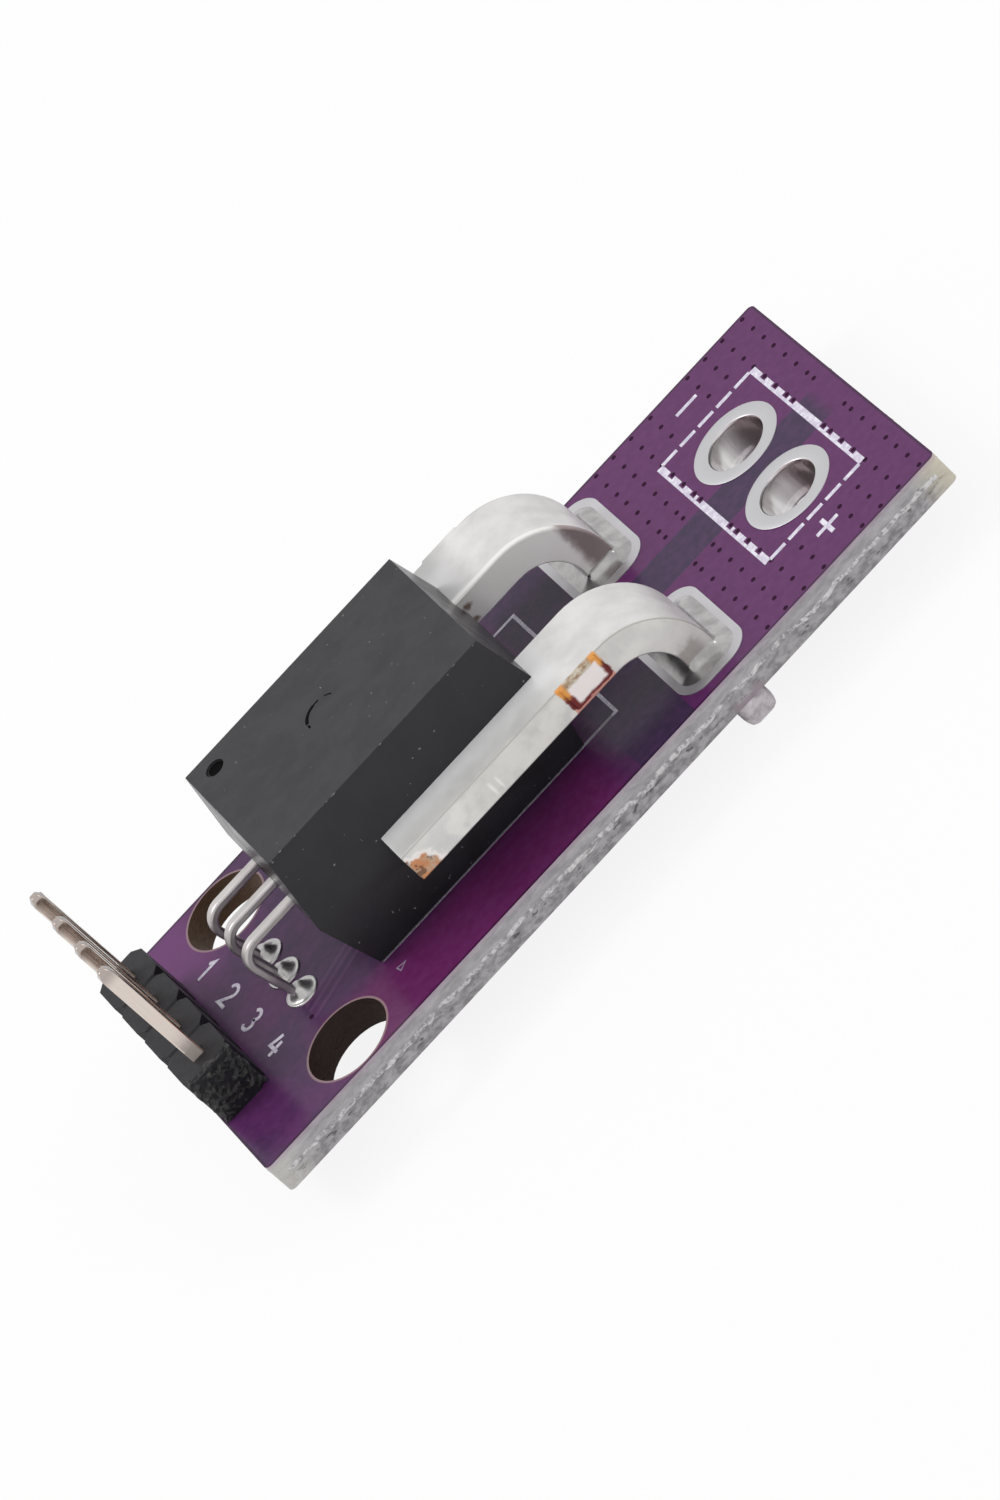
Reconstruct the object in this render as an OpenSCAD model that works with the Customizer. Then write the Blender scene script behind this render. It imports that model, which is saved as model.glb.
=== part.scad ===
// Hall effect current sensor on a small breakout board.
// A moulded sensor straddles the board. Its heavy U-shaped conductor leaves the
// moulding at the far end as two arched leads, soldered into plated slots that
// serve the two terminal holes. Three thin signal leads run to a pin header.
// X runs along the board from the header to the terminal holes, and Z is up.
// The origin is under the middle of the board, level with the tips of the tails.

/* [Board] */
// Length of the board
board_l = 39.1; // [38.5:0.1:44]
// Width of the board
board_w = 17.7; // [17.5:0.1:22]
// Thickness of the board
board_t = 1.6; // [1:0.1:2.4]
// Corner radius of the board
board_corner_r = 0.3; // [0.1:0.1:1]
// How far the soldered tails reach below the board
tail_l = 2.1; // [1.6:0.1:3]

/* [Mounting holes] */
// Diameter of the two mounting holes
mount_hole_d = 4; // [2:0.1:4.2]
// Mounting hole centres, from the header end
mount_hole_x = 5.94; // [5.6:0.02:6.2]
// Mounting hole centres, from the long edges
mount_hole_inset = 2.2; // [2.15:0.05:2.6]

/* [Terminal holes] */
// Bore of a plated terminal hole
term_hole_d = 2.7; // [2:0.1:3.4]
// Diameter of the ring of plating round it
term_pad_d = 4.24; // [3.8:0.02:4.8]
// Distance between the two terminal holes
term_pitch = 5.1; // [5:0.02:6.5]
// Terminal holes, past the middle of the room between lead pads and far end
term_shift = 0.34; // [-0.6:0.02:0.6]
// Sideways offset of the terminal holes from the board's middle
term_side = -0.1; // [-0.4:0.02:0.4]
// Thickness of the plating in a hole or slot
plating_t = 0.05; // [0.03:0.01:0.12]
// Thickness of a pad on the board's faces
pad_t = 0.04; // [0.03:0.01:0.08]

/* [Sensor moulding] */
// Middle of the moulding, from the header end
sensor_x = 15.08; // [14.6:0.02:15.6]
// Sideways offset of the sensor from the board's middle
sensor_side = 0.08; // [-0.2:0.02:0.2]
// Length of the moulding at its parting line
body_l = 13.35; // [12.8:0.05:14]
// Width of the moulding at its parting line
body_w = 10.06; // [9.4:0.02:11]
// Height of the moulding
body_h = 6.95; // [6.6:0.05:8]
// Gap between the moulding and the board
body_gap = 0.1; // [0.05:0.05:0.3]
// Parting line above the moulding's foot
parting_h = 3.3; // [3:0.05:3.8]
// How far each end leans in from parting line to crown
crown_inset_l = 0.58; // [0.2:0.02:0.8]
// How far each flank leans in from parting line to crown
crown_inset_w = 0.48; // [0.1:0.02:0.8]
// How far each end leans in from parting line to foot
foot_inset_l = 0.68; // [0.2:0.02:1]
// How far each flank leans in from parting line to foot
foot_inset_w = 0.18; // [0.05:0.01:0.5]
// Diameter of the dimple that marks the first lead
dimple_d = 0.9; // [0.5:0.1:1.4]
// Depth of the dimple
dimple_depth = 0.12; // [0.05:0.01:0.3]
// Dimple from the edges of the crown
dimple_inset = 1.15; // [0.9:0.05:2]

/* [Conductor] */
// Width of a conductor lead
lead_w = 4; // [3.4:0.1:4.4]
// Thickness of the conductor
lead_t = 1.5; // [1.2:0.05:1.7]
// Distance between the middles of the two leads
lead_pitch = 10.1; // [9.8:0.05:10.6]
// Middle of the conductor above the board
lead_mid_h = 3.45; // [3.2:0.05:3.7]
// Inside radius of the arch
bend_r = 2; // [1:0.1:2.4]
// Middle of the standing legs, past the moulding's far end
leg_reach = 5.2; // [4.4:0.05:6]
// Near end of the conductor, in from the moulding's near end
crossbar_inset = 4.35; // [4:0.05:4.8]
// Length along X of the bar that joins the two leads
crossbar_l = 4; // [3:0.1:4.6]
// Length of the tie bar stub on a lead
stub_l = 2; // [1:0.1:2.6]
// Height of the tie bar stub
stub_h = 1.3; // [0.8:0.05:1.3]
// How far the tie bar stub stands out
stub_out = 0.14; // [0.05:0.01:0.3]
// Tie bar stub, past the moulding's far end
stub_x = 0.2; // [0.1:0.05:0.6]

/* [Conductor pads] */
// Length of a pad across the board
pad_w = 6.5; // [6:0.05:6.8]
// Length of a pad along the board
pad_l = 3.65; // [3.4:0.05:4]
// Corner radius of a pad
pad_r = 1.2; // [0.6:0.05:1.6]
// Room round a lead in its slot
slot_clear = 0.25; // [0.15:0.05:0.35]
// Corner radius of a slot
slot_r = 0.5; // [0.2:0.05:0.6]

/* [Magnetic core] */
// Width of the core across the board
core_w = 4.4; // [3:0.1:5]
// Thickness of the core's limbs
core_limb = 1.4; // [1:0.05:1.5]
// Room between the core and the bar that it rings
core_clear = 0.35; // [0.2:0.05:0.45]
// Air gap in the core, where the sensing chip lies
core_gap = 1.1; // [0.9:0.05:1.3]
// Corner radius of the core
core_r = 0.6; // [0.2:0.05:0.8]

/* [Sensing chip] */
// Side of the square sensing chip
die_side = 1.1; // [0.8:0.05:1.2]
// Thickness of the sensing chip
die_t = 0.25; // [0.15:0.05:0.3]
// Width of the paddle that carries the chip
paddle_w = 2.2; // [1.8:0.05:2.6]
// Length of the paddle
paddle_l = 1.3; // [1.2:0.05:1.4]

/* [Signal leads] */
// Width of a signal lead
sig_w = 0.51; // [0.4:0.01:0.6]
// Thickness of a signal lead
sig_t = 0.38; // [0.3:0.01:0.45]
// Distance between signal leads
sig_pitch = 1.91; // [1.8:0.01:2.1]
// Signal holes, out from the moulding's near end
sig_reach = 2.47; // [2.3:0.01:2.7]
// How far the standing part leans back towards the moulding, in degrees
sig_lean = 10; // [2:1:12]
// Inside radius of a signal lead's bend
sig_bend_r = 0.65; // [0.4:0.05:0.8]
// Length of an outer lead held inside the moulding
sig_hold = 1.6; // [0.8:0.1:2]
// Diameter of a signal hole
sig_hole_d = 1.1; // [1:0.05:1.2]
// Length of signal lead below the board
sig_tail = 1.5; // [1.2:0.1:1.6]

/* [Pin header] */
// Distance between header pins
pin_pitch = 2.54; // [2.5:0.01:2.6]
// Middle of the pin row, from the header end
header_x = 1.3; // [1.28:0.02:1.6]
// Sideways offset of the header from the board's middle
header_side = 0.72; // [0:0.02:1]
// Width of the header's plastic along the board
header_l = 2.5; // [2.2:0.02:2.54]
// Height of the header's plastic
header_h = 2.54; // [2:0.02:3]
// Chamfer between the header's cells
header_chamfer = 0.42; // [0.2:0.02:0.6]
// Depth of the grooves between the header's cells
groove_d = 0.12; // [0.04:0.02:0.3]
// Thickness of the snapped web at the header's end
snap_t = 0.16; // [0.05:0.01:0.25]
// Side of a square pin
pin_side = 0.64; // [0.5:0.01:0.7]
// Length of pin above the plastic
pin_above = 6.05; // [4:0.05:9]
// Length of the taper at a pin's ends
pin_taper = 0.35; // [0.1:0.05:0.6]
// Diameter of a header hole in the board
header_hole_d = 1.02; // [1:0.02:1.1]

/* [Solder] */
// Radius of a solder joint on a round hole
solder_r = 0.8; // [0.7:0.02:0.88]
// Height of a solder joint on top of the board
solder_top_h = 0.5; // [0.2:0.05:0.8]
// Height of a solder joint under the board
solder_foot_h = 0.9; // [0.4:0.05:1]
// How far the solder spreads round a conductor lead
fillet_spread = 0.6; // [0.3:0.05:0.8]
// How far the solder climbs a conductor lead
fillet_h = 1; // [0.5:0.05:1.1]

/* [Hidden] */

// Number of header pins
pin_count = 4;
// Fine enough for round bores
$fn = 48;
// Extra length of a cut past a face
cut = 1;
// How far stretches of one piece run into each other
lap = 0.02;
LEFT = 1;
RIGHT = -1;

// Levels
board_bottom = tail_l;
board_top = board_bottom + board_t;
foot_z = board_top + body_gap;
parting_z = foot_z + parting_h;
lead_z = board_top + lead_mid_h;

// Places along the board
near_end = -board_l / 2;
sensor_mid = near_end + sensor_x;
body_near = sensor_mid - body_l / 2;
body_far = sensor_mid + body_l / 2;
mount_x = near_end + mount_hole_x;
mount_y = board_w / 2 - mount_hole_inset;
leg_x = body_far + leg_reach;
term_x = (leg_x + pad_l / 2 + board_l / 2) / 2 + term_shift;
bend_x = leg_x - lead_t / 2 - bend_r;
bend_z = lead_z - lead_t / 2 - bend_r;
crossbar_x = body_near + crossbar_inset;
sig_hole_x = body_near - sig_reach;
pin_x = near_end + header_x;

// Slots for the conductor legs
slot_l = lead_t + 2 * slot_clear;
slot_w = lead_w + 2 * slot_clear;

// Core window and outline, seen from the side
window_l = crossbar_l + 2 * core_clear;
window_h = lead_t + 2 * core_clear;
core_l = window_l + 2 * core_limb;
core_h = window_h + 2 * core_limb;
core_mid_x = crossbar_x + crossbar_l / 2;
paddle_x = core_mid_x - core_l / 2 + (core_limb - paddle_l) / 2;

// The hollow curve of solder on a leg, in shares of its height and spread
fillet_rise = [0, 0.08, 0.2, 0.4, 0.68, 1];
fillet_reach = [1, 0.7, 0.46, 0.24, 0.06, -0.12];

// The hollow curve of solder under a round hole, in shares of its height and radius
foot_rise = [1, 0.8, 0.4, 0.15, 0];
foot_reach = [0.56, 0.62, 0.7, 0.84, 1];
// The same for the solder on top of a round hole
head_rise = [0, 0.12, 0.35, 0.7, 1];
head_reach = [1, 0.84, 0.7, 0.58, 0.5];

// Places across the board, counted from the left as seen from the header
function lead_y(side) = sensor_side + side * lead_pitch / 2;
function term_y(side) = term_side + side * term_pitch / 2;
function sig_y(i) = sensor_side + (2 - i) * sig_pitch;
function pin_y(i) = header_side + ((pin_count + 1) / 2 - i) * pin_pitch;

// A flat rectangle with round corners, l along X and w along Y
module rounded_rect(l, w, r) {
    square([l - 2 * r, w], center = true);
    square([l, w - 2 * r], center = true);
    for (x = [-1, 1], y = [-1, 1])
        translate([x * (l / 2 - r), y * (w / 2 - r)]) circle(r);
}

// Stands a profile drawn in X and Z upright and gives it a width along Y
module side_profile(width) {
    rotate([90, 0, 0]) linear_extrude(width, center = true) children();
}

// Stands a profile drawn in Y and Z upright and gives it a length along X
module end_profile(length) {
    rotate([90, 0, 90]) linear_extrude(length, center = true) children();
}

// The plated slot of one conductor lead, grown by the given margin
module slot_shape(margin) {
    rounded_rect(slot_l + 2 * margin, slot_w + 2 * margin, slot_r + margin);
}

module circuit_board() {
    color([0.42, 0.25, 0.44])
    difference() {
        translate([0, 0, board_bottom]) linear_extrude(board_t)
            rounded_rect(board_l, board_w, board_corner_r);
        translate([0, 0, board_bottom - cut]) {
            for (side = [LEFT, RIGHT]) {
                translate([mount_x, side * mount_y, 0])
                    cylinder(d = mount_hole_d, h = board_t + 2 * cut);
                translate([term_x, term_y(side), 0])
                    cylinder(d = term_hole_d + 2 * plating_t, h = board_t + 2 * cut);
                translate([leg_x, lead_y(side), 0])
                    linear_extrude(board_t + 2 * cut) slot_shape(plating_t);
            }
            for (i = [1:3])
                translate([sig_hole_x, sig_y(i), 0]) cylinder(d = sig_hole_d, h = board_t + 2 * cut);
            for (i = [1:pin_count])
                translate([pin_x, pin_y(i), 0]) cylinder(d = header_hole_d, h = board_t + 2 * cut);
        }
    }
}

// Outline of the moulding in one direction: widest at the parting line
module moulding_outline(mid, crown_inset, foot_inset) {
    polygon([
        [-mid / 2 + foot_inset, 0], [mid / 2 - foot_inset, 0],
        [mid / 2, parting_h], [mid / 2 - crown_inset, body_h],
        [-mid / 2 + crown_inset, body_h], [-mid / 2, parting_h]
    ]);
}

module moulding() {
    translate([sensor_mid, sensor_side, foot_z]) intersection() {
        side_profile(2 * body_w) moulding_outline(body_l, crown_inset_l, foot_inset_l);
        end_profile(2 * body_l) moulding_outline(body_w, crown_inset_w, foot_inset_w);
    }
}

module sensor_body() {
    color([0.2, 0.2, 0.21])
    difference() {
        moulding();
        conductor_shape();
        core_shape();
        die_shape();
        for (i = [1:3]) signal_lead_shape(i);
        translate([
            sensor_mid - body_l / 2 + crown_inset_l + dimple_inset,
            sensor_side + body_w / 2 - crown_inset_w - dimple_inset,
            foot_z + body_h - dimple_depth
        ]) cylinder(d = dimple_d, h = dimple_depth + cut);
    }
}

// One arched lead from the side: flat run, quarter bend and standing leg
module lead_outline() {
    translate([crossbar_x, lead_z - lead_t / 2]) square([bend_x - crossbar_x, lead_t]);
    translate([bend_x, bend_z]) intersection() {
        difference() {
            circle(bend_r + lead_t, $fn = 96);
            circle(bend_r, $fn = 96);
        }
        square(bend_r + lead_t);
    }
    translate([bend_x + bend_r, 0]) square([lead_t, bend_z]);
}

module conductor_shape() {
    for (side = [LEFT, RIGHT]) {
        translate([0, lead_y(side), 0]) side_profile(lead_w) lead_outline();
        translate([
            body_far + stub_x,
            lead_y(side) + (side == LEFT ? lead_w / 2 : -lead_w / 2 - stub_out),
            lead_z + lead_t / 2 - stub_h
        ]) cube([stub_l, stub_out, stub_h]);
    }
    translate([crossbar_x, lead_y(RIGHT), lead_z - lead_t / 2])
        cube([crossbar_l, lead_pitch, lead_t]);
}

module primary_conductor() {
    color([0.8, 0.79, 0.77]) conductor_shape();
}

// A C-shaped core round the conductor's bar, open towards the signal leads
module core_shape() {
    translate([core_mid_x, sensor_side, lead_z]) side_profile(core_w) difference() {
        rounded_rect(core_l, core_h, core_r);
        square([window_l, window_h], center = true);
        translate([-core_l / 2 - cut, -core_gap / 2])
            square([core_limb + core_clear + cut, core_gap]);
    }
}

module magnetic_core() {
    color([0.45, 0.43, 0.42]) core_shape();
}

// The chip lies on the middle lead's paddle, in the core's gap
module die_shape() {
    translate([
        paddle_x + (paddle_l - die_side) / 2,
        sensor_side - die_side / 2,
        parting_z + sig_t / 2
    ]) cube([die_side, die_side, die_t]);
}

module hall_die() {
    color([0.3, 0.32, 0.38]) die_shape();
}

// A signal lead from the side. It leaves the moulding level, turns down a
// little past upright and crosses its hole's axis halfway through the board.
module signal_lead_outline(inner_x) {
    mid_r = sig_bend_r + sig_t / 2;
    arc_z = parting_z - mid_r;
    bend_end_z = arc_z - mid_r * sin(sig_lean);
    drop = bend_end_z - (board_bottom + board_top) / 2;
    bend_end_x = sig_hole_x - drop * tan(sig_lean);
    arc_x = bend_end_x + mid_r * cos(sig_lean);
    straight = (bend_end_z - board_bottom + sig_tail) / cos(sig_lean);
    far = 3 * mid_r;
    translate([arc_x, parting_z - sig_t / 2]) square([inner_x - arc_x, sig_t]);
    translate([arc_x, arc_z]) intersection() {
        difference() {
            circle(sig_bend_r + sig_t);
            circle(sig_bend_r);
        }
        polygon([[0, 0], [0, far], [-far, far], [-far, -far * tan(sig_lean)]]);
    }
    translate([bend_end_x, bend_end_z]) rotate(sig_lean) translate([-sig_t / 2, -straight])
        square([sig_t, straight + lap]);
}

// The middle lead runs on to the paddle, and the outer two stop short of it
module signal_lead_shape(i) {
    inner_x = i == 2 ? paddle_x + paddle_l : body_near + sig_hold;
    translate([0, sig_y(i), 0]) side_profile(sig_w) signal_lead_outline(inner_x);
    if (i == 2)
        translate([paddle_x, sensor_side - paddle_w / 2, parting_z - sig_t / 2])
            cube([paddle_l, paddle_w, sig_t]);
}

module signal_lead(i) {
    color([0.75, 0.74, 0.72]) signal_lead_shape(i);
}

// The header from above: cells in a row, notched between them, with a snapped web
// at the far end of the row
module header_outline() {
    x = header_l / 2;
    y = pin_pitch / 2;
    c = header_chamfer;
    end_y = pin_y(pin_count) - y;
    cells = [
        for (i = [1:pin_count], corner = [[x - c, y], [x, y - c], [x, c - y]])
            [corner[0], pin_y(i) + corner[1]]
    ];
    edge = concat(cells, [[x - c, end_y], [x - c, end_y - snap_t]]);
    last = len(edge) - 1;
    polygon(concat(edge, [for (k = [0:last]) [-edge[last - k][0], edge[last - k][1]]]));
}

module header_body() {
    color([0.26, 0.26, 0.27])
    difference() {
        translate([pin_x, 0, board_top]) linear_extrude(header_h) header_outline();
        for (i = [1:pin_count])
            translate([pin_x - pin_side / 2, pin_y(i) - pin_side / 2, board_top - cut])
                cube([pin_side, pin_side, header_h + 2 * cut]);
        for (i = [1:pin_count])
            translate([pin_x, pin_y(i) - pin_pitch / 2, board_top + header_h])
                end_profile(header_l + 2 * cut) rotate(45)
                    square(groove_d * sqrt(2), center = true);
    }
}

// Outline of a square pin with both tips tapered to half its side
module pin_outline() {
    s = pin_side / 2;
    top = board_top + header_h + pin_above;
    polygon([
        [-s / 2, 0], [s / 2, 0], [s, pin_taper], [s, top - pin_taper],
        [s / 2, top], [-s / 2, top], [-s, top - pin_taper], [-s, pin_taper]
    ]);
}

module header_pin(i) {
    color([0.83, 0.78, 0.72]) translate([pin_x, pin_y(i), 0]) intersection() {
        side_profile(2 * pin_side) pin_outline();
        end_profile(2 * pin_side) pin_outline();
    }
}

module terminal_barrel(side) {
    color([0.74, 0.74, 0.75]) translate([term_x, term_y(side), board_bottom]) difference() {
        union() {
            translate([0, 0, -pad_t]) cylinder(d = term_pad_d, h = pad_t);
            translate([0, 0, board_t]) cylinder(d = term_pad_d, h = pad_t);
            translate([0, 0, -pad_t])
                cylinder(d = term_hole_d + 2 * plating_t, h = board_t + 2 * pad_t);
        }
        translate([0, 0, -cut]) cylinder(d = term_hole_d, h = board_t + 2 * cut);
    }
}

module conductor_pad(side) {
    color([0.74, 0.73, 0.75]) translate([leg_x, lead_y(side), board_bottom - pad_t]) difference() {
        union() {
            linear_extrude(pad_t) rounded_rect(pad_l, pad_w, pad_r);
            translate([0, 0, board_t + pad_t]) linear_extrude(pad_t) rounded_rect(pad_l, pad_w, pad_r);
            linear_extrude(board_t + 2 * pad_t) slot_shape(plating_t);
        }
        translate([0, 0, -cut]) linear_extrude(board_t + 2 * cut) slot_shape(0);
    }
}

// Outline of the solder round a leg of the given width, a hollow curve each side
module fillet_outline(width) {
    top = len(fillet_rise) - 1;
    right = [for (k = [0:top]) [width / 2 + fillet_reach[k] * fillet_spread, fillet_rise[k] * fillet_h]];
    left = [for (k = [0:top]) [-right[top - k][0], right[top - k][1]]];
    polygon(concat(right, left));
}

// Solder that climbs a leg
module leg_fillet() {
    l = lead_t + 2 * fillet_spread;
    w = lead_w + 2 * fillet_spread;
    intersection() {
        side_profile(w) fillet_outline(lead_t);
        end_profile(l) fillet_outline(lead_w);
        linear_extrude(fillet_h) rounded_rect(l, w, slot_r);
    }
}

module conductor_solder(side) {
    color([0.8, 0.8, 0.8]) difference() {
        translate([leg_x, lead_y(side), 0]) {
            translate([0, 0, board_bottom - pad_t]) linear_extrude(board_t + 2 * pad_t) slot_shape(0);
            translate([0, 0, board_top + pad_t]) leg_fillet();
            translate([0, 0, board_bottom - pad_t]) mirror([0, 0, 1]) leg_fillet();
        }
        translate([0, lead_y(side), 0]) side_profile(lead_w) lead_outline();
    }
}

// A joint that fills a round hole, with a cone below and, where open, one above
module round_joint(hole_d, top_h) {
    below = [
        for (k = [0:len(foot_rise) - 1])
            [foot_reach[k] * solder_r, board_bottom - foot_rise[k] * solder_foot_h]
    ];
    above = [
        for (k = [0:len(head_rise) - 1])
            [head_reach[k] * solder_r, board_top + head_rise[k] * top_h]
    ];
    rotate_extrude() polygon(concat(
        [[0, board_bottom - solder_foot_h]], below,
        [[hole_d / 2, board_bottom], [hole_d / 2, board_top]],
        top_h > 0 ? above : [], [[0, board_top + top_h]]
    ));
}

module signal_solder(i) {
    color([0.8, 0.8, 0.8]) difference() {
        translate([sig_hole_x, sig_y(i), 0]) round_joint(sig_hole_d, solder_top_h);
        signal_lead_shape(i);
    }
}

module header_solder(i) {
    color([0.8, 0.8, 0.8]) difference() {
        translate([pin_x, pin_y(i), 0]) round_joint(header_hole_d, 0);
        translate([pin_x - pin_side / 2, pin_y(i) - pin_side / 2, 0])
            cube([pin_side, pin_side, board_top + cut]);
    }
}

circuit_board();
sensor_body();
primary_conductor();
magnetic_core();
hall_die();
signal_lead(1);  // signal_lead_1
signal_lead(2);  // signal_lead_2
signal_lead(3);  // signal_lead_3
header_body();
header_pin(1);  // header_pin_1
header_pin(2);  // header_pin_2
header_pin(3);  // header_pin_3
header_pin(4);  // header_pin_4
terminal_barrel(LEFT);  // terminal_barrel_left
terminal_barrel(RIGHT);  // terminal_barrel_right
conductor_pad(LEFT);  // conductor_pad_left
conductor_pad(RIGHT);  // conductor_pad_right
conductor_solder(LEFT);  // conductor_solder_left
conductor_solder(RIGHT);  // conductor_solder_right
signal_solder(1);  // signal_solder_1
signal_solder(2);  // signal_solder_2
signal_solder(3);  // signal_solder_3
header_solder(1);  // header_solder_1
header_solder(2);  // header_solder_2
header_solder(3);  // header_solder_3
header_solder(4);  // header_solder_4
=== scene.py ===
"""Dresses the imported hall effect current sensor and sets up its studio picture.

Places and sizes on the board are in millimetres: X from the header end, Y from the right
long edge and Z up from the board's top face. The frame, lights and floor are in metres.
"""

import math
import random

import bmesh
import bpy
from mathutils import Matrix, Vector


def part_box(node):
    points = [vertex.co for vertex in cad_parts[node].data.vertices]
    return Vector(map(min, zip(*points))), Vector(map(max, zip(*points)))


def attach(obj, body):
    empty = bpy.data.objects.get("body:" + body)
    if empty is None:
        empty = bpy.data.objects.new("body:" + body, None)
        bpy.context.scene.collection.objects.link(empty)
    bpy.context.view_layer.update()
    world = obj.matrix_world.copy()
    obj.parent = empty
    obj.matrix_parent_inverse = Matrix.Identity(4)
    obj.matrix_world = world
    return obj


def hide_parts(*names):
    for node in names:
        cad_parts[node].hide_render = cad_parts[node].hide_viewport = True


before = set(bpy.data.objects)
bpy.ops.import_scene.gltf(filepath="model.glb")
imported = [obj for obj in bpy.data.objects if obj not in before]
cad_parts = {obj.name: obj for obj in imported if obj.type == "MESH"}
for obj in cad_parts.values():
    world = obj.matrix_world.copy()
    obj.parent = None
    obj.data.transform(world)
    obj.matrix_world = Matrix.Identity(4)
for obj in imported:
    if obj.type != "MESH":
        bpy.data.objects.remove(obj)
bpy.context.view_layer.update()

MM = 0.001
random.seed(7)

# Places from the frame

BOARD_LO, BOARD_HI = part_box("circuit_board")
BODY_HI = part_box("sensor_body")[1]
PIN_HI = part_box("header_pin_1")[1]
BOARD_L = (BOARD_HI[0] - BOARD_LO[0]) / MM
BOARD_W = (BOARD_HI[1] - BOARD_LO[1]) / MM
CROWN = (BODY_HI[2] - BOARD_HI[2]) / MM
PIN_TIP = (PIN_HI[2] - BOARD_HI[2]) / MM


def at(x, y, z=0.0):
    """A place on the board as a point of the frame."""
    return Vector((BOARD_LO[0] + x * MM, BOARD_LO[1] + y * MM, BOARD_HI[2] + z * MM))


# Sizes and places on the board

SIDES = ("left", "right")
BOARD_T = 1.6
PAD_TOP = 0.04
HOLE_X, HOLE_INSET = 5.94, 2.2  # mounting holes, from the header end and the long edges
HOLE_R = 2.0
ISOLATION = (7.6, 9.9)  # the bare strip between the two copper pours, across the board
POUR_START = 25.1  # the pours run from here to the far end
SENSOR_Y = 8.93
PLATE_X = 12.75  # where the conductor's plate ends, beside the moulding
PLATE_LOW, PLATE_HIGH = 2.7, 4.3
TIE_BAR = (21.9, 23.95)  # where the tie bars were cut off the plate, along the board
LEG_X, LEG_Y = 26.955, {"left": 13.98, "right": 3.88}
LEG_L, LEG_W = 0.75, 2.0  # half sizes of a conductor leg
SIGNAL_X, SIGNAL_Y = 5.935, (10.84, 8.93, 7.02)
HEADER_X, HEADER_PIN_Y = 1.3, (13.38, 10.84, 8.30, 5.76)

# Camera

CAMERA = (22.2, -327.6, 217.3)
CAMERA_PITCH = 32.88  # degrees below level
CAMERA_TURN = 0.62  # degrees to the left of straight along the board's width
CAMERA_ROLL = 47.35  # degrees clockwise
LENS = 236.27  # for a 36 mm sensor along the picture's height

camera_data = bpy.data.cameras.new("camera")
camera_data.sensor_width = 36
camera_data.lens = LENS
camera_data.clip_start = 0.01
camera_data.clip_end = 10
camera = bpy.data.objects.new("camera", camera_data)
bpy.context.collection.objects.link(camera)
camera.matrix_world = (
    Matrix.Translation(at(*CAMERA))
    @ Matrix.Rotation(math.radians(CAMERA_TURN), 4, "Z")
    @ Matrix.Rotation(math.radians(90 - CAMERA_PITCH), 4, "X")
    @ Matrix.Rotation(math.radians(-CAMERA_ROLL), 4, "Z")
)
bpy.context.scene.camera = camera

# Light

scene = bpy.context.scene
scene.view_settings.view_transform = "Standard"

WORLD_LIGHT = 0.72  # what lights the object; the camera and mirrors see 1
MIDDLE = (0, 0, 0.005)  # where the lamps point


def seen_directly(nodes, links):
    """A factor that is 1 for rays from the camera and for mirrored or refracted ones."""
    path = nodes.new("ShaderNodeLightPath")
    either = nodes.new("ShaderNodeMath")
    either.operation = "MAXIMUM"
    links.new(path.outputs["Is Camera Ray"], either.inputs[0])
    links.new(path.outputs["Is Glossy Ray"], either.inputs[1])
    both = nodes.new("ShaderNodeMath")
    both.operation = "MAXIMUM"
    links.new(either.outputs[0], both.inputs[0])
    links.new(path.outputs["Is Transmission Ray"], both.inputs[1])
    return both.outputs[0]


def studio_world():
    world = bpy.data.worlds.new("studio")
    world.use_nodes = True
    nodes, links = world.node_tree.nodes, world.node_tree.links
    background = nodes["Background"]
    background.inputs["Color"].default_value = (1, 1, 1, 1)
    strength = nodes.new("ShaderNodeMapRange")
    strength.inputs["To Min"].default_value = WORLD_LIGHT
    strength.inputs["To Max"].default_value = 1.0
    links.new(seen_directly(nodes, links), strength.inputs["Value"])
    links.new(strength.outputs["Result"], background.inputs["Strength"])
    return world


def area_light(name, place, size, power):
    data = bpy.data.lights.new(name, "AREA")
    data.shape = "RECTANGLE"
    data.size, data.size_y = size
    data.energy = power
    light = bpy.data.objects.new(name, data)
    bpy.context.collection.objects.link(light)
    light.location = place
    light.rotation_mode = "QUATERNION"
    light.rotation_quaternion = (Vector(MIDDLE) - Vector(place)).to_track_quat("-Z", "Y")


scene.world = studio_world()
area_light("key", (-0.12, 0.08, 0.22), size=(0.10, 0.10), power=0.20)
area_light("fill", (0.18, -0.12, 0.15), size=(0.12, 0.08), power=0.07)

# Floor

FLOOR_HALF = 3.0
FLOOR_WHITE = 0.9
FLOOR_GLOW = 0.88  # how much of the floor's own white shows instead of its shading
UNDER_BOARD = 0.12  # how much of it mirrors find under the board
SHADE_FADE = (-0.005, 0.001)  # from inside to outside the board's edges


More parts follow.
